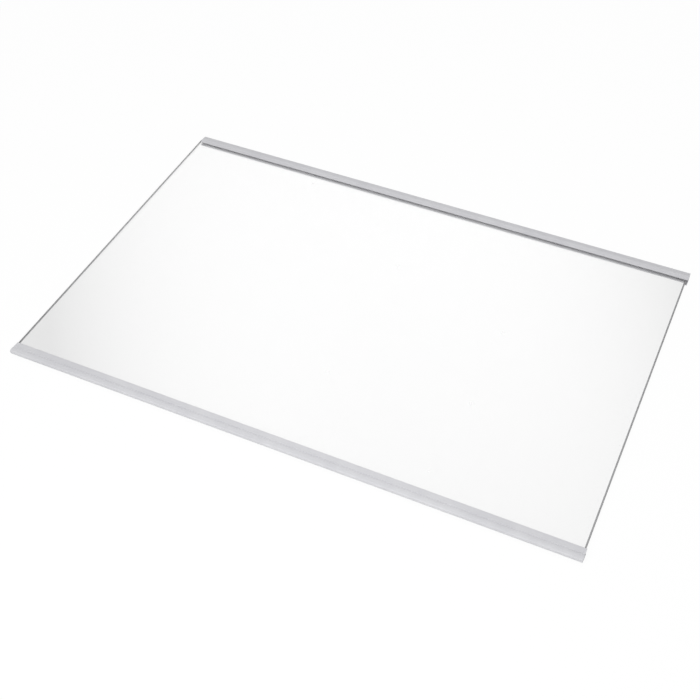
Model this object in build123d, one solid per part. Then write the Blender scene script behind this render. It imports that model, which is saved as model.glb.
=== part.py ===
from build123d import *
import os

# A glass shelf out of a fridge: a sheet of toughened glass with a plastic strip pushed onto its front
# edge and another onto its rear edge. All sizes are in millimetres. +X runs along the shelf's width, to
# the right as seen from the front, +Y points to the rear and +Z up. The origin is at the level of the
# strips' undersides, on which the shelf rests, under the middle of the sheet's width and the middle of
# the whole depth.

# Glass sheet
glass_width = 475.0
glass_depth = 306.0
glass_thickness = 4.0
arris = 1.15  # bevel ground along every edge of the sheet
corner_dub = 3.0  # radius ground on the sheet's four corners

# Fit of the strips on the sheet
grip_clearance = 0.1  # between the sheet and each lip
seat_clearance = 0.2  # between the sheet's edge and the bottom of a slot

# Both strips
lower_lip = 1.2  # thickness of the lip under the sheet
lip_tip_radius = 0.4
slot_radius = 0.3  # in the two inner corners of a slot

# Front strip
front_short = 0.8  # how far the strip's left end stops short of the sheet's
front_over = 0.8  # how far the strip's right end passes the sheet's
front_bite = 6.1  # how far the lip over the sheet reaches in from the sheet's edge
front_lower_bite = 5.0  # how far the lip under the sheet reaches in
front_lip = 1.05  # thickness of the upper lip at the crease
front_lip_tip = 0.6  # thickness of the upper lip at its tip
crease_inset = 0.55  # middle of the crease, in from the sheet's edge
crease_width = 0.7
crease_depth = 0.5
front_nose = 4.65  # plastic ahead of the slot
nose_rise = 0.5  # from the crease up to where the two slopes of the nose would meet
nose_fall = 0.55  # from there down to the front corner
nose_top_radius = 1.2
nose_upright = 0.2  # straight face of the nose, below which it curves back to the underside

# Rear strip
rear_short = 2.5  # how far the strip's left end stops short of the sheet's
rear_over = 1.5  # how far the strip's right end passes the sheet's
rear_bite = 6.6  # how far the lip over the sheet reaches in from the sheet's edge
rear_lower_bite = 7.15  # how far the lip under the sheet reaches in
rear_lip_tip = 0.8  # thickness of the upper lip at its tip
rear_slope = 3.2  # depth of the upper lip's sloping face
rear_rise = 0.9  # from the tip up to where the strip's two slopes would meet
rear_fall = 0.75  # from there down to the rear corner
rear_wall = 2.15  # plastic behind the slot
rear_corner_radius = 0.8

# Levels above the strips' undersides
glass_bottom = lower_lip + grip_clearance
glass_top = glass_bottom + glass_thickness
slot_top = glass_top + grip_clearance

# Places along the depth, with the whole shelf centred on the origin
front_reach = seat_clearance + front_nose
rear_reach = seat_clearance + rear_wall
shelf_depth = front_reach + glass_depth + rear_reach
front_edge = front_reach - shelf_depth / 2
rear_edge = front_edge + glass_depth


def glass_pane():
    """The sheet: four corners dubbed round, then the bevel ground along both faces."""
    outline = RectangleRounded(glass_width, glass_depth, corner_dub)
    middle = (front_edge + rear_edge) / 2
    sheet = Pos(0, middle, glass_bottom) * extrude(outline, amount=glass_thickness)
    faces = sheet.faces().sort_by(Axis.Z)
    return chamfer(faces[0].edges() + faces[-1].edges(), arris)


def strip(corners, edge, inward, short, over):
    """A channel of one section along the sheet's edge, pushed on a little to the right.

    Each corner of the section is its distance in from the sheet's edge, its height and its radius.
    """
    points = [(edge + inward * reach, height) for reach, height, radius in corners]
    radii = [radius for reach, height, radius in corners]
    outline = FilletPolyline(*points, radius=radii, close=True)
    section = Plane.YZ * make_face(outline)
    length = glass_width - short + over
    middle = (short + over) / 2
    return Pos(middle, 0, 0) * extrude(section, amount=length / 2, both=True)


def slot_corners(lower_bite, upper_bite):
    """The slot that takes the sheet, from the tip of the lower lip round to the tip of the upper one."""
    return [
        (lower_bite, lower_lip, 0),
        (-seat_clearance, lower_lip, slot_radius),
        (-seat_clearance, slot_top, slot_radius),
        (upper_bite, slot_top, 0),
    ]


def front_trim():
    """The front strip: a tapered lip, a crease, and a domed nose that curves back under the shelf."""
    crease_top = slot_top + front_lip
    crease_back = crease_inset + crease_width / 2
    crease_front = crease_inset - crease_width / 2
    half_nose = (front_reach + crease_front) / 2
    crown_top = crease_top + nose_rise
    crown_radius = half_nose**2 / (nose_rise + nose_fall)  # its arc covers the middle half of the dome
    nose_top = crown_top - nose_fall
    nose_under_radius = nose_top - nose_top_radius - nose_upright
    corners = slot_corners(front_lower_bite, front_bite) + [
        (front_bite, slot_top + front_lip_tip, lip_tip_radius),
        (crease_back, crease_top, 0),
        (crease_inset, crease_top - crease_depth, 0),
        (crease_front, crease_top, 0),
        (crease_front - half_nose, crown_top, crown_radius),
        (-front_reach, nose_top, nose_top_radius),
        (-front_reach, 0, nose_under_radius),
        (front_lower_bite, 0, lip_tip_radius),
    ]
    return strip(corners, front_edge, 1, front_short, front_over)


def rear_trim():
    """The rear strip: a channel whose domed upper lip slopes down to the glass."""
    tip_top = slot_top + rear_lip_tip
    crown_top = tip_top + rear_rise
    rear_run = rear_bite - rear_slope + rear_reach
    crown_turn = rear_rise / rear_slope + rear_fall / rear_run
    crown_radius = rear_slope / crown_turn  # its arc begins halfway up the sloping face
    corners = slot_corners(rear_lower_bite, rear_bite) + [
        (rear_bite, tip_top, lip_tip_radius),
        (rear_bite - rear_slope, crown_top, crown_radius),
        (-rear_reach, crown_top - rear_fall, rear_corner_radius),
        (-rear_reach, 0, rear_corner_radius),
        (rear_lower_bite, 0, lip_tip_radius),
    ]
    return strip(corners, rear_edge, -1, rear_short, rear_over)


os.makedirs("parts", exist_ok=True)
for piece in (glass_pane, front_trim, rear_trim):
    export_step(piece(), f"parts/{piece.__name__}.step")
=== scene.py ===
# %% [markdown]
# # A glass shelf out of a fridge
#
# The shelf is a sheet of toughened glass with a pale plastic strip pushed onto its front edge and another
# onto its rear edge. The CAD model already has the right sizes, and it is loaded first as a fixed frame.
# Its meshes are coarse, though: a curved nose becomes a few flat facets, and every edge is perfectly
# sharp. So each of the three pieces is built again here with finer curves and softened edges, in the same
# place.

# %% Load the frame
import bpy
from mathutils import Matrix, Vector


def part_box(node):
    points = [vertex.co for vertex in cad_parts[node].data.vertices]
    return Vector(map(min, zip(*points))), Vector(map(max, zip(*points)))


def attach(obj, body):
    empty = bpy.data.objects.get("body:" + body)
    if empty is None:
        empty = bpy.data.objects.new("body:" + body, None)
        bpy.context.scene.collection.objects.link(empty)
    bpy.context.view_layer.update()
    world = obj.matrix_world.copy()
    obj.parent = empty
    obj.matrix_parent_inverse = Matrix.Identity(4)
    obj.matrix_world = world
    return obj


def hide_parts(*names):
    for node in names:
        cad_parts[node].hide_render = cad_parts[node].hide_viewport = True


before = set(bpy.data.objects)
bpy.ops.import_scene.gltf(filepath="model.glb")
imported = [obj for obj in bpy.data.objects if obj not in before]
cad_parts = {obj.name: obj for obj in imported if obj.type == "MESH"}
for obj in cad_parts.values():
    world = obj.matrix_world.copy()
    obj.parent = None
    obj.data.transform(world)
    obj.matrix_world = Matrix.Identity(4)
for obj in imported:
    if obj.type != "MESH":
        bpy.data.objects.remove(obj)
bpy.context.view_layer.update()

import math
import bpy
import numpy as np
from mathutils import Matrix, Vector

MM = 0.001  # Blender works in metres here, and the sizes below are written in millimetres
print("CAD nodes:", ", ".join(sorted(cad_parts)))

# %% [markdown]
# ## Rounding the corners of a section
#
# A plastic strip like this is extruded: soft plastic is pressed through a die, so the whole strip has one
# section. A section is easiest to describe by its corners, each with a radius. A Bevel modifier could
# round the corners of a mesh, but it gives them all one width unless every edge has a weight of its own,
# and here the nose, the lip and the slot all differ. Working the arcs out directly keeps each radius as
# it really is.

# %% Corners to outline
ARC_STEPS = 12  # stretches in each rounded corner


def round_corners(corners, steps=ARC_STEPS):
    """A closed outline through corners given as (across, up, radius), as one arc of points for each corner.

    Two unit vectors run from each corner to its neighbours. The arc's centre is on the line that halves the
    angle between them, radius / sin(half angle) away from the corner, and the arc starts and ends
    radius / tan(half angle) along the two sides. In between, each point is the centre plus a blend of the
    two end spokes, weighted by sines so that the arc turns evenly.
    """
    corners = np.array(corners, dtype=float)
    points, radius = corners[:, :2], corners[:, 2:]
    back = np.roll(points, 1, axis=0) - points
    ahead = np.roll(points, -1, axis=0) - points
    back /= np.linalg.norm(back, axis=1, keepdims=True)
    ahead /= np.linalg.norm(ahead, axis=1, keepdims=True)
    half = np.arccos(np.sum(back * ahead, axis=1, keepdims=True)) / 2
    middle = (back + ahead) / np.linalg.norm(back + ahead, axis=1, keepdims=True)
    centre = points + middle * radius / np.sin(half)
    start = points + back * radius / np.tan(half) - centre
    end = points + ahead * radius / np.tan(half) - centre
    turn = np.pi - 2 * half
    along = np.linspace(0, 1, steps + 1)
    from_start = (np.sin((1 - along) * turn) / np.sin(turn))[..., None]
    from_end = (np.sin(along * turn) / np.sin(turn))[..., None]
    return centre[:, None] + from_start * start[:, None] + from_end * end[:, None]


TRIAL_SQUARE = [(0, 0, 1), (9, 0, 1), (9, 9, 1), (0, 9, 1)]  # 9 mm wide, with corners of 1 mm
square = round_corners(TRIAL_SQUARE).reshape(-1, 2)
print("a square with rounded corners has", len(square), "points")

# %% [markdown]
# ## From rings of points to a mesh
#
# Each of the three pieces is a closed skin: ring after ring of points, with a flat face on the first and
# the last ring. Faces could be added one by one with bmesh, in a loop. Here the rings are one array, so
# the faces can be written down as an array of point numbers too, all at once. Every row of faces also
# gets a finish number, because the end of a strip and the edge of the glass don't look like the rest of
# their piece.

# %% Closed skin
def edge_uses(mesh):
    """How many faces meet at each edge. On a closed mesh that is two everywhere."""
    edges = np.empty(len(mesh.loops), dtype=np.int32)
    mesh.loops.foreach_get("edge_index", edges)
    return np.bincount(edges)


def closed_skin(name, rings, row_finish, cap_finish):
    """A mesh object through rings of points, an array of (rings, points, 3) in millimetres.

    Face (i, j) joins points j and j + 1 of ring i to the same two points of ring i + 1, and the last point
    joins the first. Rings that run anticlockwise, seen from where they are heading, give faces that point
    outwards, so the cap on the first ring takes its points in reverse.
    """
    index = np.arange(rings.shape[0] * rings.shape[1]).reshape(rings.shape[:2])
    beside = np.roll(index, -1, axis=1)
    quads = np.stack([index[:-1], beside[:-1], beside[1:], index[1:]], axis=-1).reshape(-1, 4)
    faces = quads.tolist() + [index[0, ::-1].tolist(), index[-1].tolist()]
    mesh = bpy.data.meshes.new(name)
    mesh.from_pydata((rings.reshape(-1, 3) * MM).tolist(), [], faces)
    finish = np.append(np.repeat(row_finish, rings.shape[1]), [cap_finish, cap_finish])
    mesh.polygons.foreach_set("material_index", finish.astype(np.int32))
    mesh.update()
    piece = bpy.data.objects.new(name, mesh)
    bpy.context.scene.collection.objects.link(piece)
    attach(piece, "root")
    state = "closed" if np.all(edge_uses(mesh) == 2) else "open"
    print(f"{name}: {len(mesh.vertices)} points, {len(mesh.polygons)} faces, {state}")
    return piece


print("two rings of that square would give", len(square), "faces and two caps")

# %% [markdown]
# ## Moving an outline inwards
#
# The wiped end of a strip and the bevel of the glass both need an outline that is drawn in a little, by
# the same depth everywhere. Scaling the outline wouldn't do that: a long narrow shape would lose more of
# its length than of its width. So every point moves inwards until both sides that meet in it have moved
# by that depth.

# %% Inset
TRIAL_DEPTH = 0.5


def inset(outline, depth):
    """The outline moved into the material by depth, square to its sides.

    A side's outward vector is its direction turned a quarter clockwise. A point moves against the sum of
    its two sides' outward vectors, divided by one plus their dot product, so both sides move by the same
    depth.
    """
    side = np.roll(outline, -1, axis=0) - outline
    side /= np.linalg.norm(side, axis=1, keepdims=True)
    out = np.stack([side[:, 1], -side[:, 0]], axis=1)
    before = np.roll(out, 1, axis=0)
    both = (out + before) / (1 + np.sum(out * before, axis=1, keepdims=True))
    return outline - depth * both


smaller = np.ptp(inset(square, TRIAL_DEPTH), axis=0)
print(f"inset by {TRIAL_DEPTH} mm, the square of 9 mm is {smaller[0]:.2f} mm wide")

# %% [markdown]
# ## Where a strip gets rubbed
#
# Hands and cloths rub the outer corners of a strip, the sharp ones most. The Geometry node's Pointiness
# finds corners too, but it changes with the density of the mesh. This script knows every corner and its
# radius, so it works out how much each point is rubbed. The strips keep that as an attribute on their
# points, and the plastic's material reads it.

# %% Rubbed corners
RUB_RADIUS = 0.4  # corners up to this radius are rubbed fully, and larger ones less


def rubbing(corners):
    """How much each point of the rounded corners is rubbed, from 0 to 1.

    An outer corner gets RUB_RADIUS / radius, and at most 1. An inner corner, where the outline turns
    clockwise, gets nothing. Along the arc the amount rises and falls as half a sine wave.
    """
    corners = np.array(corners, dtype=float)
    ahead = np.roll(corners[:, :2], -1, axis=0) - corners[:, :2]
    behind = np.roll(ahead, 1, axis=0)
    outer = behind[:, 0] * ahead[:, 1] - behind[:, 1] * ahead[:, 0] > 0
    amount = outer * np.clip(RUB_RADIUS / corners[:, 2], 0, 1)
    return (amount[:, None] * np.sin(np.linspace(0, np.pi, ARC_STEPS + 1))).ravel()


print("the square's corners of 1 mm would be rubbed by up to", rubbing(TRIAL_SQUARE).max())

# %% [markdown]
# ## Carrying a section along a strip
#
# The strips were cut to length with a saw, and the burr was wiped off, so each end has a tiny rounded
# edge that catches the light. A Bevel modifier could round it, if its edges were marked first. A strip is
# made of rings anyway, so here it is simply a few more rings near the ends. Flat faces and arcs meet
# smoothly: all faces are shaded smooth, and a Weighted Normal modifier keeps the wide flat ones flat.

# %% Strip
END_BREAK = 0.14  # radius of the wiped edge round a saw-cut end
END_RINGS = 5  # rings in that edge
SPANS = 25  # stretches of a strip between its two ends
SATIN, SAWN = 0, 1  # finish numbers of a strip


def strip(name, outline, rubbed, low, high):
    """The outline, as (depth, height), carried along the width from low to high.

    Near an end the ring at angle a of a quarter circle lies END_BREAK * (1 - cos a) in from the end, and
    its outline is inset by END_BREAK * (1 - sin a).
    """
    angle = np.linspace(0, np.pi / 2, END_RINGS)
    run = END_BREAK * (1 - np.cos(angle))
    shrink = END_BREAK * (1 - np.sin(angle))
    between = np.linspace(low + END_BREAK, high - END_BREAK, SPANS + 1)[1:-1]
    places = np.concatenate([low + run, between, high - run[::-1]])
    depths = np.concatenate([shrink, np.zeros(between.size), shrink[::-1]])
    rings = np.empty((places.size, len(outline), 3))
    rings[..., 0] = places[:, None]
    rings[..., 1:] = inset(outline, depths[:, None, None])
    row_finish = np.where((depths[:-1] > 0) | (depths[1:] > 0), SAWN, SATIN)
    piece = closed_skin(name, rings, row_finish, SAWN)
    piece.data.polygons.foreach_set("use_smooth", np.ones(len(piece.data.polygons), dtype=bool))
    on_points = np.tile(rubbed, places.size).astype(np.float32)
    piece.data.attributes.new("rubbed", "FLOAT", "POINT").data.foreach_set("value", on_points)
    piece.modifiers.new("flat_faces_stay_flat", "WEIGHTED_NORMAL")
    return piece


print("a saw-cut end is rounded by", END_BREAK, "mm, in", END_RINGS, "rings")

# %% [markdown]
# ## The slot that holds the glass
#
# Both strips are channels: the glass sits in a slot between a lip under it and a lip over it. The slot
# could be cut out of a solid bar with a Boolean modifier. As part of the section it is only four more
# corners, and its faces come out clean. Its height comes from the glass in the frame. Distances are
# counted in from the edge of the glass, so the corners read like a drawing.

# %% Slot
GRIP_GAP = 0.1  # between the glass and each lip
SEAT_GAP = 0.2  # between the edge of the glass and the end of the slot
SLOT_RADIUS = 0.3
EASE = 0.15  # the smallest radius that the die gives a corner that is drawn sharp


def box_in_mm(node):
    """The lowest and the highest corner of a CAD node, in millimetres."""
    return [np.array(corner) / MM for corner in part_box(node)]


glass_low, glass_high = box_in_mm("glass_pane")
slot_floor = glass_low[2] - GRIP_GAP
slot_roof = glass_high[2] + GRIP_GAP


def slot(upper_bite, lower_bite):
    """Corners of the slot, from the tip of the lower lip round to the tip of the upper one."""
    return [
        (lower_bite, slot_floor, EASE),
        (-SEAT_GAP, slot_floor, SLOT_RADIUS),
        (-SEAT_GAP, slot_roof, SLOT_RADIUS),
        (upper_bite, slot_roof, EASE),
    ]


print(f"the slot is {slot_roof - slot_floor:.2f} mm high, with {GRIP_GAP} mm free over and under the glass")

# %% [markdown]
# ## The front strip
#
# The front strip is what one sees and holds: a lip under the glass, a lip over it that gets thinner
# towards the glass, a fine crease where lip and nose meet, and a nose with a faintly domed top that
# curves back to the underside. The dome could be a curve with many points. As a corner like the others it
# needs only two slopes of half a millimetre and a large radius.

# %% Front strip
FRONT_LOWER_BITE = 5.0  # how far the lip under the glass reaches in
FRONT_LIP, FRONT_TIP = 1.05, 0.6  # thickness of the upper lip at the crease, and at its tip
TIP_RADIUS = 0.4
CREASE_IN, CREASE_WIDTH, CREASE_DEPTH = 0.55, 0.7, 0.5
NOSE_RISE, NOSE_FALL = 0.5, 0.55  # from the crease up to where the dome's slopes meet, and down again
NOSE_TOP_RADIUS = 1.2
NOSE_UPRIGHT = 0.2  # straight face of the nose, below which it curves back to the underside

front_low, front_high = box_in_mm("front_trim")
front_edge = glass_low[1]
front_bite = front_high[1] - front_edge
front_reach = front_edge - front_low[1]
crease_level = slot_roof + FRONT_LIP
nose_start = CREASE_IN - CREASE_WIDTH / 2
half_nose = (nose_start + front_reach) / 2
crown_level = crease_level + NOSE_RISE
crown_radius = half_nose ** 2 / (NOSE_RISE + NOSE_FALL)  # its arc covers the middle half of the dome
nose_top = crown_level - NOSE_FALL
nose_under_radius = nose_top - NOSE_TOP_RADIUS - NOSE_UPRIGHT
front_corners = slot(front_bite, FRONT_LOWER_BITE) + [
    (front_bite, slot_roof + FRONT_TIP, TIP_RADIUS),
    (CREASE_IN + CREASE_WIDTH / 2, crease_level, EASE),
    (CREASE_IN, crease_level - CREASE_DEPTH, EASE),
    (nose_start, crease_level, EASE),
    (nose_start - half_nose, crown_level, crown_radius),
    (-front_reach, nose_top, NOSE_TOP_RADIUS),
    (-front_reach, 0, nose_under_radius),
    (FRONT_LOWER_BITE, 0, TIP_RADIUS),
]
front_outline = np.array([front_edge, 0]) + round_corners(front_corners).reshape(-1, 2)
front_strip = strip("front_strip", front_outline, rubbing(front_corners), front_low[0], front_high[0])
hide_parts("front_trim")
print(f"the nose is {2 * half_nose:.2f} mm deep, and its dome has a radius of {crown_radius:.2f} mm")

# %% [markdown]
# ## The rear strip
#
# The rear strip goes against the back of the fridge, so it has no nose: behind the glass there is only a
# thin wall. Its upper lip is domed and slopes down to the glass, which lets a cloth wipe crumbs off it.
# Its corners are counted from the rear edge of the glass forwards. The finished strip could be turned
# round for that, but a piece should stay unturned. So the outline is mirrored instead, and its points are
# taken in reverse to keep the faces pointing outwards.

# %% Rear strip
REAR_BITE = 6.6  # how far the lip over the glass reaches in
REAR_TIP = 0.8  # thickness of the upper lip at its tip
REAR_SLOPE, REAR_RISE = 3.2, 0.9  # the slope up from the tip: its depth, and its rise to the crown
REAR_FALL = 0.75  # from the crown down to the rear
REAR_RADIUS = 0.8

rear_low, rear_high = box_in_mm("rear_trim")
rear_edge = glass_high[1]
rear_lower_bite = rear_edge - rear_low[1]
rear_reach = rear_high[1] - rear_edge
rear_run = REAR_BITE - REAR_SLOPE + rear_reach
rear_crown_level = slot_roof + REAR_TIP + REAR_RISE
rear_crown_turn = REAR_RISE / REAR_SLOPE + REAR_FALL / rear_run
rear_crown_radius = REAR_SLOPE / rear_crown_turn  # its arc begins halfway up the slope
rear_corners = slot(REAR_BITE, rear_lower_bite) + [
    (REAR_BITE, slot_roof + REAR_TIP, TIP_RADIUS),
    (REAR_BITE - REAR_SLOPE, rear_crown_level, rear_crown_radius),
    (-rear_reach, rear_crown_level - REAR_FALL, REAR_RADIUS),
    (-rear_reach, 0, REAR_RADIUS),
    (rear_lower_bite, 0, TIP_RADIUS),
]
counted_forwards = round_corners(rear_corners).reshape(-1, 2)
rear_outline = np.array([rear_edge, 0]) + np.array([-1, 1]) * counted_forwards[::-1]
rear_strip = strip("rear_strip", rear_outline, rubbing(rear_corners)[::-1], rear_low[0], rear_high[0])
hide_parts("rear_trim")
print(f"the rear lip's dome has a radius of {rear_crown_radius:.2f} mm")

# %% [markdown]
# ## The glass sheet
#
# The sheet was cut from float glass. Before it was toughened, its corners were dubbed round and all its
# edges were ground, with a bevel called an arris along both faces, because a sharp edge would start a
# crack. A cube with a Bevel modifier would come close. Carrying the edge's section round the outline also
# tells which faces are ground and which are polished, and those two need different finishes.

# %% Glass sheet
DUB = 3.0  # radius of the four corners
ARRIS = 1.15  # how far the bevel reaches into the face, and down the edge
ARRIS_RADIUS = 0.12  # the grinding wheel leaves no sharp line between edge and arris
ARRIS_STEPS = 4  # stretches in that small arc
FLAT_RIM = 2.0  # the flat faces begin this far in from the outline, as the first and the last ring
POLISHED, GROUND = 0, 1  # finish numbers of the sheet


def sheet_rings(outline, section):
    """The section, as (distance in from the outline, height), carried round the outline.

    Ring k is the outline inset by the section's k-th distance and raised to its k-th height.
    """
    rings = np.empty((len(section), len(outline), 3))
    rings[..., :2] = inset(outline, section[:, 0][:, None, None])
    rings[..., 2] = section[:, 1][:, None]
    return rings


(left, front, bottom), (right, rear, top) = glass_low, glass_high
sheet_corners = [(left, front, DUB), (right, front, DUB), (right, rear, DUB), (left, rear, DUB)]
sheet_outline = round_corners(sheet_corners).reshape(-1, 2)
edge_corners = [
    (FLAT_RIM, bottom, ARRIS_RADIUS),
    (ARRIS, bottom, ARRIS_RADIUS),
    (0, bottom + ARRIS, ARRIS_RADIUS),
    (0, top - ARRIS, ARRIS_RADIUS),
    (ARRIS, top, ARRIS_RADIUS),
    (FLAT_RIM, top, ARRIS_RADIUS),
]
arcs = round_corners(edge_corners, ARRIS_STEPS)[1:-1]  # the two ends of the section stay plain points
edge_section = np.vstack([[FLAT_RIM, bottom], arcs.reshape(-1, 2), [FLAT_RIM, top]])
row_finish = np.full(len(edge_section) - 1, GROUND)
row_finish[[0, -1]] = POLISHED
glass_sheet = closed_skin("glass_sheet", sheet_rings(sheet_outline, edge_section), row_finish, POLISHED)
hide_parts("glass_pane")
print(f"the sheet is {right - left:.0f} by {rear - front:.0f} by {top - bottom:.0f} mm")

# %% [markdown]
# ## Colours and nodes
#
# A colour that is picked from a picture is an sRGB value, and Blender's sockets want linear light, so one
# function turns the one into the other. Materials are node trees. They could be drawn by hand in the
# Shader Editor, but a script can be read and run again. One small function adds a node, sets what it is
# told and links what it is given, and every material below is written with it.

# %% Colour and node helpers
def linear(hex_colour):
    """Linear RGBA of an sRGB hex colour.

    A channel c, from 0 to 1, becomes c / 12.92 near black and ((c + 0.055) / 1.055) ** 2.4 elsewhere.
    """
    channels = np.array([int(hex_colour[i:i + 2], 16) for i in (1, 3, 5)]) / 255
    light = np.where(channels <= 0.04045, channels / 12.92, ((channels + 0.055) / 1.055) ** 2.4)
    return (*light.tolist(), 1.0)


def add(tree, kind, inputs=None, **settings):
    """Adds one node. Settings are its properties, and inputs are values to set or sockets to link.

    A socket goes by its name, or by its number on a node where several share one name, such as Math or Mix.
    """
    node = tree.nodes.new(kind)
    for name, value in settings.items():
        setattr(node, name, value)
    for socket, value in (inputs or {}).items():
        if isinstance(value, bpy.types.NodeSocket):
            tree.links.new(value, node.inputs[socket])
        else:
            node.inputs[socket].default_value = value
    return node


def new_tree(owner):
    """An empty node tree on a material or a world."""
    owner.use_nodes = True
    owner.node_tree.nodes.clear()
    return owner.node_tree


def pattern_scale(*sizes):
    """The scale at which one unit of a pattern covers these sizes along X, Y and Z, in millimetres."""
    return tuple(1 / (size * MM) for size in sizes)


FACTOR, NUMBER_A, NUMBER_B, COLOUR_A, COLOUR_B = 0, 2, 3, 6, 7  # inputs of a Mix node
MIXED_NUMBER, MIXED_COLOUR = 0, 2  # outputs of a Mix node
NOISE_SPREAD = {"From Min": 0.35, "From Max": 0.65}  # noise seldom leaves this range, so it becomes 0 to 1

print("#808080 is", round(linear("#808080")[0], 4), "in linear light")

# %% [markdown]
# ## Extruded plastic: lines and tone
#
# The strips are pale grey PVC. The die that it was pressed through leaves very fine lines along the
# strip, and the plastic itself is a little uneven in tone. An image texture could show both, but noise
# needs no file and has no seams. The lines are a noise that is stretched along the width, and the tone is
# one that isn't. A real die line is some 0.1 mm wide, which no render at this size can show, so it is
# drawn several times as coarse. Noise stays near the middle of its range, so a Map Range node spreads it.

# %% Die lines and tone
DIE_LINE, LINE_LENGTH = 0.7, 175.0  # drawn about seven times as wide as a real one
TONE_PATCH = 14.0

extruded_pvc = bpy.data.materials.new("pale_grey_PVC_extruded")
tree = new_tree(extruded_pvc)
place = add(tree, "ShaderNodeTexCoord")
stretched = add(tree, "ShaderNodeMapping", {
    "Vector": place.outputs["Object"], "Scale": pattern_scale(LINE_LENGTH, DIE_LINE, DIE_LINE)})
noise = add(tree, "ShaderNodeTexNoise", {
    "Vector": stretched.outputs["Vector"], "Scale": 1.0, "Detail": 2.0})
lines = add(tree, "ShaderNodeMapRange", {"Value": noise.outputs["Fac"], **NOISE_SPREAD})
noise = add(tree, "ShaderNodeTexNoise", {
    "Vector": place.outputs["Object"], "Scale": 1 / (TONE_PATCH * MM), "Detail": 3.0})
tone = add(tree, "ShaderNodeMapRange", {"Value": noise.outputs["Fac"], **NOISE_SPREAD})
print("die lines", DIE_LINE, "mm wide, patches of tone", TONE_PATCH, "mm wide")

# %% [markdown]
# ## Extruded plastic: its surface
#
# The surface is satin: to the eye it has a soft sheen and no sharp reflections. Where its corners are
# rubbed, it is a little paler and smoother, in patches, so the attribute on the points is multiplied by
# the noise that varies the tone. The die lines could be cut into the mesh, but they are far finer than
# its faces, so a Bump node raises them, and they change the roughness a little too.

# %% Extruded PVC
PVC_GREY = "#C7C7CB"
PVC_GREY_PALER = "#CFCFD2"
PVC_RUBBED = "#D5D5D8"
PVC_IOR = 1.53
LINE_SHARE = 0.4  # of the unevenness in colour, and the patches have the rest
SATIN_ROUGHNESS = (0.37, 0.49)  # in the lines and between them
RUBBED_SMOOTHER = -0.15  # added to the roughness of a fully rubbed corner
LINE_HEIGHT, LINE_RELIEF = 0.01, 0.2  # millimetres, and how strongly the bump shows

uneven = add(tree, "ShaderNodeMix", {
    FACTOR: LINE_SHARE, NUMBER_A: tone.outputs["Result"], NUMBER_B: lines.outputs["Result"]},
    data_type="FLOAT")
colour = add(tree, "ShaderNodeMix", {
    FACTOR: uneven.outputs[MIXED_NUMBER], COLOUR_A: linear(PVC_GREY), COLOUR_B: linear(PVC_GREY_PALER)},
    data_type="RGBA")
rubbed = add(tree, "ShaderNodeAttribute", attribute_name="rubbed")
patches = add(tree, "ShaderNodeMath", {
    0: rubbed.outputs["Fac"], 1: tone.outputs["Result"]}, operation="MULTIPLY")
worn = add(tree, "ShaderNodeMix", {
    FACTOR: patches.outputs[0], COLOUR_A: colour.outputs[MIXED_COLOUR], COLOUR_B: linear(PVC_RUBBED)},
    data_type="RGBA")
satin = add(tree, "ShaderNodeMapRange", {
    "Value": lines.outputs["Result"], "To Min": SATIN_ROUGHNESS[0], "To Max": SATIN_ROUGHNESS[1]})
smoother = add(tree, "ShaderNodeMath", {
    0: patches.outputs[0], 1: RUBBED_SMOOTHER, 2: satin.outputs["Result"]}, operation="MULTIPLY_ADD")
relief = add(tree, "ShaderNodeBump", {
    "Height": lines.outputs["Result"], "Strength": LINE_RELIEF, "Distance": LINE_HEIGHT * MM})
surface = add(tree, "ShaderNodeBsdfPrincipled", {
    "Base Color": worn.outputs[MIXED_COLOUR], "Roughness": smoother.outputs[0], "IOR": PVC_IOR,
    "Normal": relief.outputs["Normal"]})
add(tree, "ShaderNodeOutputMaterial", {"Surface": surface.outputs["BSDF"]})
print(extruded_pvc.name, "has", len(tree.nodes), "nodes")

# %% [markdown]
# ## Saw-cut ends
#
# The saw leaves the ends of the strips rougher than the rest, with fine straight marks from its teeth. To
# the eye they are duller and a little paler. The marks could be a stretched noise, like the die lines,
# but a saw leaves them at even distances, so they are a wave texture. The blade comes down at a slant, so
# the bands of the wave are diagonal.

# %% Sawn PVC
SAWN_GREY = "#D3D3D6"
SAWN_GREY_DARKER = "#C9C9CD"
SAWN_ROUGHNESS = 0.62
TOOTH_MARK = 0.85  # from one mark to the next
MARK_DEPTH, MARK_RELIEF = 0.03, 0.4  # millimetres, and how strongly the bump shows
WAVE_PERIOD = 2 * math.pi / (10 * math.sqrt(2))  # of a diagonal wave of scale 1, on a face square to X

sawn_pvc = bpy.data.materials.new("pale_grey_PVC_sawn")
tree = new_tree(sawn_pvc)
place = add(tree, "ShaderNodeTexCoord")
marks = add(tree, "ShaderNodeTexWave", {
    "Vector": place.outputs["Object"], "Scale": WAVE_PERIOD / (TOOTH_MARK * MM),
    "Distortion": 1.5, "Detail": 2.0}, bands_direction="DIAGONAL")
colour = add(tree, "ShaderNodeMix", {
    FACTOR: marks.outputs["Fac"], COLOUR_A: linear(SAWN_GREY), COLOUR_B: linear(SAWN_GREY_DARKER)},
    data_type="RGBA")
relief = add(tree, "ShaderNodeBump", {
    "Height": marks.outputs["Fac"], "Strength": MARK_RELIEF, "Distance": MARK_DEPTH * MM})
surface = add(tree, "ShaderNodeBsdfPrincipled", {
    "Base Color": colour.outputs[MIXED_COLOUR], "Roughness": SAWN_ROUGHNESS, "IOR": PVC_IOR,
    "Normal": relief.outputs["Normal"]})
add(tree, "ShaderNodeOutputMaterial", {"Surface": surface.outputs["BSDF"]})

for piece in (front_strip, rear_strip):
    piece.data.materials.append(extruded_pvc)
    piece.data.materials.append(sawn_pvc)
    print(piece.name, "finishes:", [finish.name for finish in piece.data.materials])

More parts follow.
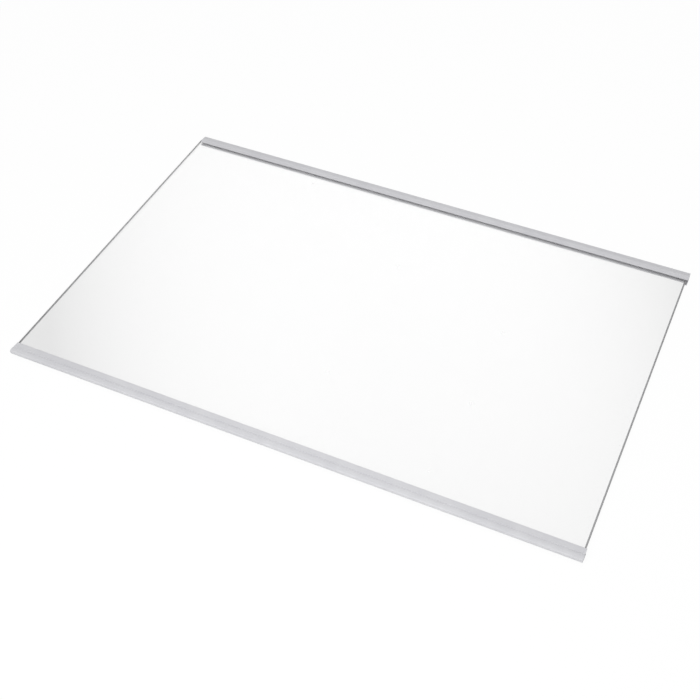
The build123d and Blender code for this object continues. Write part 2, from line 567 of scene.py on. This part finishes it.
# %% [markdown]
# ## Float glass: dust and streaks
#
# A shelf that has been handled is never perfectly clean. A few specks of dust lie on its upper face, and
# a cloth has left faint streaks along the width. Specks could be scattered as tiny meshes, but dust has
# no shape that one could see. So each is a soft dot at the middle of a cell of a flat Voronoi texture,
# and the cell's random colour decides whether it has one. The streaks are a stretched noise.

# %% Dust and streaks
SPECK_SPACING = 55.0
SPECK_SIZE = 2.4  # radius at which a speck has faded out, drawn larger than real dust so that it shows
SPECK_SHARE = 0.2  # of the cells that have a speck
SPECK_STRENGTH = 0.3
STREAK_WIDTH, STREAK_LENGTH = 12.0, 150.0
STREAK_START, STREAK_FULL = 0.5, 0.8  # the noise at which a streak begins, and at which it is strongest
STREAK_ROUGHNESS = 0.04

float_glass = bpy.data.materials.new("float_glass_fire_polished")
tree = new_tree(float_glass)
place = add(tree, "ShaderNodeTexCoord")
specks = add(tree, "ShaderNodeTexVoronoi", {
    "Vector": place.outputs["Object"], "Scale": 1 / (SPECK_SPACING * MM)}, voronoi_dimensions="2D")
near_speck = add(tree, "ShaderNodeMapRange", {
    "Value": specks.outputs["Distance"], "From Max": SPECK_SIZE / SPECK_SPACING,
    "To Min": SPECK_STRENGTH, "To Max": 0.0}, interpolation_type="SMOOTHSTEP")
chance = add(tree, "ShaderNodeSeparateColor", {"Color": specks.outputs["Color"]})
few = add(tree, "ShaderNodeMath", {0: chance.outputs["Red"], 1: SPECK_SHARE}, operation="LESS_THAN")
level = add(tree, "ShaderNodeSeparateXYZ", {"Vector": place.outputs["Object"]})
upper = add(tree, "ShaderNodeMath", {
    0: level.outputs["Z"], 1: float(bottom + top) / 2 * MM}, operation="GREATER_THAN")
few_upper = add(tree, "ShaderNodeMath", {0: few.outputs[0], 1: upper.outputs[0]}, operation="MULTIPLY")
dust = add(tree, "ShaderNodeMath", {
    0: near_speck.outputs["Result"], 1: few_upper.outputs[0]}, operation="MULTIPLY")
wiped = add(tree, "ShaderNodeMapping", {
    "Vector": place.outputs["Object"], "Scale": pattern_scale(STREAK_LENGTH, STREAK_WIDTH, STREAK_WIDTH)})
streaks = add(tree, "ShaderNodeTexNoise", {
    "Vector": wiped.outputs["Vector"], "Scale": 1.0, "Detail": 3.0})
smear = add(tree, "ShaderNodeMapRange", {
    "Value": streaks.outputs["Fac"], "From Min": STREAK_START, "From Max": STREAK_FULL,
    "To Max": STREAK_ROUGHNESS})
print("cells of", SPECK_SPACING, "mm, about one in", round(1 / SPECK_SHARE), "with a speck")

# %% [markdown]
# ## Float glass: its polished faces
#
# The faces of float glass are polished by fire. To the eye the sheet is what lies under it, a little
# greyer, with a sharp reflection on top: clear glass as thin as this shows no colour of its own. The
# Glass shader would do for a clean sheet. The Principled shader with full transmission bends and reflects
# light in the same way, and takes the dust as a place with less transmission. Cycles then finds almost no
# lamp through the glass, because a bent ray seldom ends on a lamp, so shadow rays and bounced light get a
# clear pass.

# %% Polished glass
GLASS_TINT = "#F2F2F2"  # what a face lets through of what is seen
CLEAR_PASS = "#F7F7F7"  # what a face lets through of the light from lamps
GLASS_IOR = 1.52

clear = add(tree, "ShaderNodeMath", {0: 1.0, 1: dust.outputs[0]}, operation="SUBTRACT")
surface = add(tree, "ShaderNodeBsdfPrincipled", {
    "Base Color": linear(GLASS_TINT), "Roughness": smear.outputs["Result"], "IOR": GLASS_IOR,
    "Transmission Weight": clear.outputs[0]})
through = add(tree, "ShaderNodeBsdfTransparent", {"Color": linear(CLEAR_PASS)})
ray = add(tree, "ShaderNodeLightPath")
lamp_ray = add(tree, "ShaderNodeMath", {
    0: ray.outputs["Is Shadow Ray"], 1: ray.outputs["Is Diffuse Ray"]}, operation="MAXIMUM")
glass = add(tree, "ShaderNodeMixShader", {
    0: lamp_ray.outputs[0], 1: surface.outputs["BSDF"], 2: through.outputs["BSDF"]})
add(tree, "ShaderNodeOutputMaterial", {"Surface": glass.outputs["Shader"]})
print(float_glass.name, "has", len(tree.nodes), "nodes")

# %% [markdown]
# ## Ground edges
#
# The grinding wheel leaves the edges and arrises frosted: grey, dull and only partly translucent, with
# fine marks along the edge. To the eye they frame the clear sheet with thin grey lines. A rough glass
# alone would turn as white as the floor under it, so two thirds of the light meets a grey base. That grey
# is partly the frosted glass's own and partly painted shade: it is darker than a real ground edge, and it
# makes the dark lines that the edges show. The marks are a noise that is stretched along the depth,
# because the two edges that show run that way.

# %% Ground glass
# the grey of the ground edges is partly their own colour and partly painted shade
GROUND_GREY_AND_SHADE = "#A9A9AA"
GROUND_GREY_AND_SHADE_DARKER = "#89898B"
GROUND_ROUGHNESS = 0.6
GROUND_PASS = 0.35  # share of the light that goes into the glass
GRIT_MARK, GRIT_LENGTH = 0.4, 3.0  # drawn several times as coarse as the grit of a real wheel
GRIT_DEPTH, GRIT_RELIEF = 0.02, 0.3  # millimetres, and how strongly the bump shows

ground_glass = bpy.data.materials.new("float_glass_ground_edge")
tree = new_tree(ground_glass)
place = add(tree, "ShaderNodeTexCoord")
drawn_out = add(tree, "ShaderNodeMapping", {
    "Vector": place.outputs["Object"], "Scale": pattern_scale(GRIT_MARK, GRIT_LENGTH, GRIT_MARK)})
noise = add(tree, "ShaderNodeTexNoise", {
    "Vector": drawn_out.outputs["Vector"], "Scale": 1.0, "Detail": 4.0})
grit = add(tree, "ShaderNodeMapRange", {"Value": noise.outputs["Fac"], **NOISE_SPREAD})
colour = add(tree, "ShaderNodeMix", {
    FACTOR: grit.outputs["Result"], COLOUR_A: linear(GROUND_GREY_AND_SHADE), COLOUR_B: linear(GROUND_GREY_AND_SHADE_DARKER)},
    data_type="RGBA")
relief = add(tree, "ShaderNodeBump", {
    "Height": grit.outputs["Result"], "Strength": GRIT_RELIEF, "Distance": GRIT_DEPTH * MM})
surface = add(tree, "ShaderNodeBsdfPrincipled", {
    "Base Color": colour.outputs[MIXED_COLOUR], "Roughness": GROUND_ROUGHNESS, "IOR": GLASS_IOR,
    "Transmission Weight": GROUND_PASS, "Normal": relief.outputs["Normal"]})
add(tree, "ShaderNodeOutputMaterial", {"Surface": surface.outputs["BSDF"]})

glass_sheet.data.materials.append(float_glass)
glass_sheet.data.materials.append(ground_glass)
print(glass_sheet.name, "finishes:", [finish.name for finish in glass_sheet.data.materials])

# %% [markdown]
# ## The white floor
#
# The shelf lies on a white table. A white floor lit at a plain level comes out pale grey. Stronger lamps
# would make it white, but they would bleach the strips as well. So the floor's material mixes in plain
# white for rays that come from the camera, or that reach it through or off the glass. The rest of it is
# an ordinary matt surface, which keeps the shelf's soft shadow.
#
# Cycles treats anything that glows as one more lamp, and would send part of its rays there in vain, which
# makes the strips grainy. So the floor's material is told not to be sampled as a lamp.

# %% Floor
FLOOR_WHITE = "#FAFAFA"
PURE_WHITE = "#FFFFFF"
WHITE_SHARE = 0.95
FLOOR_HALF = 4.0  # metres


def seen_white(tree):
    """The socket that is 1 for rays from the camera, off a gloss or through glass, and 0 for others."""
    ray = add(tree, "ShaderNodeLightPath")
    direct = add(tree, "ShaderNodeMath", {
        0: ray.outputs["Is Camera Ray"], 1: ray.outputs["Is Glossy Ray"]}, operation="MAXIMUM")
    seen = add(tree, "ShaderNodeMath", {
        0: direct.outputs[0], 1: ray.outputs["Is Transmission Ray"]}, operation="MAXIMUM")
    return seen.outputs[0]


scene = bpy.context.scene
floor_corners = FLOOR_HALF * np.array([(-1, -1, 0), (1, -1, 0), (1, 1, 0), (-1, 1, 0)])
floor_mesh = bpy.data.meshes.new("floor")
floor_mesh.from_pydata(floor_corners.tolist(), [], [(0, 1, 2, 3)])
floor = bpy.data.objects.new("floor", floor_mesh)
scene.collection.objects.link(floor)

floor_white = bpy.data.materials.new("white_table")
floor_white.cycles.emission_sampling = "NONE"
tree = new_tree(floor_white)
matt = add(tree, "ShaderNodeBsdfDiffuse", {"Color": linear(FLOOR_WHITE)})
white = add(tree, "ShaderNodeEmission", {"Color": linear(PURE_WHITE), "Strength": 1.0})
share = add(tree, "ShaderNodeMath", {0: seen_white(tree), 1: WHITE_SHARE}, operation="MULTIPLY")
table = add(tree, "ShaderNodeMixShader", {
    0: share.outputs[0], 1: matt.outputs["BSDF"], 2: white.outputs["Emission"]})
add(tree, "ShaderNodeOutputMaterial", {"Surface": table.outputs["Shader"]})
floor_mesh.materials.append(floor_white)
print("the floor is", 2 * FLOOR_HALF, "m wide")

# %% [markdown]
# ## The white room
#
# The room around the table lights the shelf softly from all sides. A picture of a studio could do that,
# but an even white needs no file. To the eye the room is whiter than its light is strong: rays that are
# seen get the white that the far end of the floor has, so no horizon shows. Only what is seen or mirrored
# gets whiter by that. The view transform is Standard, so that a colour comes out as it is written.

# %% World
ROOM_LIGHT = 0.45
SEEN_ROOM = WHITE_SHARE + (1 - WHITE_SHARE) * ROOM_LIGHT

scene.view_settings.view_transform = "Standard"
scene.world = bpy.data.worlds.new("white_room")
tree = new_tree(scene.world)
room = add(tree, "ShaderNodeBackground", {"Color": linear(PURE_WHITE), "Strength": ROOM_LIGHT})
white = add(tree, "ShaderNodeBackground", {"Color": linear(PURE_WHITE), "Strength": SEEN_ROOM})
either = add(tree, "ShaderNodeMixShader", {
    0: seen_white(tree), 1: room.outputs["Background"], 2: white.outputs["Background"]})
add(tree, "ShaderNodeOutputWorld", {"Surface": either.outputs["Shader"]})
print(f"the room lights with {ROOM_LIGHT} and is seen as {SEEN_ROOM:.3f}")

# %% [markdown]
# ## Three soft lamps
#
# One large soft lamp hangs over the shelf, one stands high in front of it, and a small one stands low and
# close, so that the middle of the nose gets more of its light than the ends do. A sun lamp or a bright
# room alone would light a strip evenly from end to end, and it would look flat. The glass would mirror
# the lamps as hard white squares, so they are hidden from mirrored rays, as a photographer would move
# them away.

# %% Lamps
def facing(place, target):
    """A matrix at place whose -Z axis points at target, as lamps and cameras look along -Z."""
    return Matrix.Translation(place) @ (target - place).to_track_quat("-Z", "Y").to_matrix().to_4x4()


def soft_lamp(name, place, target, size, power):
    """A square lamp that points at target, in metres and watts. Neither camera nor glass shows it."""
    light = bpy.data.lights.new(name, "AREA")
    light.size = size
    light.energy = power
    lamp = bpy.data.objects.new(name, light)
    lamp.matrix_world = facing(Vector(place), target)
    lamp.visible_camera = lamp.visible_glossy = lamp.visible_transmission = False
    scene.collection.objects.link(lamp)
    print(f"{name}: {power} W from {(Vector(place) - target).length:.2f} m")


shelf_middle = Vector((0, 0, 0))
nose_middle = Vector((0, front_edge * MM, 0))
soft_lamp("overhead_lamp", place=(0, 0.05, 1.2), target=shelf_middle, size=0.6, power=4.6)
soft_lamp("key_lamp", place=(0.06, -0.73, 0.93), target=shelf_middle, size=0.6, power=3.0)
soft_lamp("near_lamp", place=(0.05, -0.6, 0.35), target=nose_middle, size=0.3, power=0.92)

# %% [markdown]
# ## The soft panel in the glass
#
# Clear glass is seen mostly by what it mirrors. The middle of this sheet is bright, and it fades towards
# the near left corner and the right edge. A mirrored lamp would have a hard outline, so a panel is hung
# up that glows in the middle and is dark around it. Its rim fades into the white of the room, so that no
# hard line is mirrored from any side. It is a flat grid, and how much it glows is a number on each of its
# points.

# %% Panel
PANEL_POINTS = 89  # along each side
PANEL_GLOW = 2.09
GLOW_HALF_WIDTH, GLOW_HALF_HEIGHT = 1.0, 1.46  # metres
RIM_START, RIM_END = 1.25, 2.2  # where the rim begins to fade to white and where it ends, in half sizes


def panel_glow_at(across, upward):
    """The glow at a place on the panel, given in half sizes of its bright middle.

    The middle has PANEL_GLOW * (1 - across ** 4) * (1 - upward ** 2), and nothing past its half sizes. The
    rim adds the white of the room times s * s * (3 - 2 * s), with s from 0 at RIM_START to 1 at RIM_END.
    """
    middle = PANEL_GLOW * np.clip(1 - across ** 4, 0, 1) * np.clip(1 - upward ** 2, 0, 1)
    outward = np.maximum(abs(across), abs(upward))
    rim = np.clip((outward - RIM_START) / (RIM_END - RIM_START), 0, 1)
    return middle + SEEN_ROOM * rim ** 2 * (3 - 2 * rim)


steps = np.linspace(-RIM_END, RIM_END, PANEL_POINTS)
across, upward = np.meshgrid(steps, steps)
points = np.stack([across * GLOW_HALF_WIDTH, upward * GLOW_HALF_HEIGHT, 0 * across], axis=-1)
index = np.arange(across.size).reshape(across.shape)
quads = np.stack([index[:-1, :-1], index[:-1, 1:], index[1:, 1:], index[1:, :-1]], axis=-1)
panel_mesh = bpy.data.meshes.new("soft_panel")
panel_mesh.from_pydata(points.reshape(-1, 3).tolist(), [], quads.reshape(-1, 4).tolist())
glow = panel_glow_at(across, upward).ravel().astype(np.float32)
panel_mesh.attributes.new("glow", "FLOAT", "POINT").data.foreach_set("value", glow)
print("the panel glows by up to", round(float(glow.max()), 2), "in its middle")

# %% [markdown]
# ## Hanging the panel
#
# The panel hangs behind the shelf and to its left, where the glass mirrors it into the camera. To the eye
# it is a soft white that gets weaker towards its sides. An area lamp has one strength all over, so this
# is a mesh with an emission material, which takes its strength from the number on the points. Only rays
# that come off the shelf, or through its glass, see it, so it puts no light on the floor. Like the floor,
# it isn't sampled as a lamp.

# %% Panel in place
PANEL_AZIMUTH, PANEL_HEIGHT = 202.8, 44.9  # degrees, as direction() counts them
PANEL_TURN = 8.4  # degrees, about its own middle
PANEL_AWAY = 2.5  # metres


def direction(azimuth, height):
    """The unit vector at azimuth degrees round from the front and height degrees up.

    Seen from above, azimuth runs anticlockwise. The vector is (sin a cos h, -cos a cos h, sin h).
    """
    azimuth, height = math.radians(azimuth), math.radians(height)
    level_part = Vector((math.sin(azimuth), -math.cos(azimuth), 0)) * math.cos(height)
    return level_part + Vector((0, 0, math.sin(height)))


panel = bpy.data.objects.new("soft_panel", panel_mesh)
panel_place = PANEL_AWAY * direction(PANEL_AZIMUTH, PANEL_HEIGHT)
turned = Matrix.Rotation(math.radians(PANEL_TURN), 4, "Z")
panel.matrix_world = facing(panel_place, shelf_middle) @ turned
scene.collection.objects.link(panel)
panel.visible_camera = panel.visible_diffuse = panel.visible_shadow = False

panel_light = bpy.data.materials.new("soft_panel_glow")
panel_light.cycles.emission_sampling = "NONE"
tree = new_tree(panel_light)
level = add(tree, "ShaderNodeAttribute", attribute_name="glow")
shine = add(tree, "ShaderNodeEmission", {"Strength": level.outputs["Fac"]})
add(tree, "ShaderNodeOutputMaterial", {"Surface": shine.outputs["Emission"]})
panel_mesh.materials.append(panel_light)
print("panel at", np.round(panel_place, 2).tolist(), "m")

# %% [markdown]
# ## The camera
#
# A camera can be placed by eye, but here the shelf itself says where it was. The two long sides and the
# two short sides of the shelf run to vanishing points in the photograph, and those, with the shelf's
# size, fix the lens and where the camera stood: to the right of the middle, about as far above the shelf
# as in front of it, and turned by a little over half a degree.

# %% Camera
LENS = 58.19  # mm, on Blender's sensor of 36 mm
CAMERA_AZIMUTH, CAMERA_HEIGHT = 24.5, 45.06  # degrees, as direction() counts them
CAMERA_AWAY = 936.8
CAMERA_CENTRE = (0.2, -0.3)  # the point of the upper face from which angles and distance are counted
CAMERA_AIM = (11.5, -42.8)  # the point of the upper face that the camera looks at
CAMERA_ROLL = -0.67  # degrees

camera_place = Vector((*CAMERA_CENTRE, top)) + CAMERA_AWAY * direction(CAMERA_AZIMUTH, CAMERA_HEIGHT)
camera_aim = Vector((*CAMERA_AIM, top))
rolled = Matrix.Rotation(math.radians(CAMERA_ROLL), 4, "Z")

camera = bpy.data.cameras.new("camera")
camera.lens = LENS
camera_object = bpy.data.objects.new("camera", camera)
camera_object.matrix_world = facing(camera_place * MM, camera_aim * MM) @ rolled
scene.collection.objects.link(camera_object)
scene.camera = camera_object
print("camera at", np.round(camera_place, 1).tolist(), "mm")

# %% [markdown]
# ## The end
#
# The finished pieces are meant to fill the same box as the CAD model. The last line brings the scene up
# to date.

# %% Finish
bpy.context.view_layer.update()
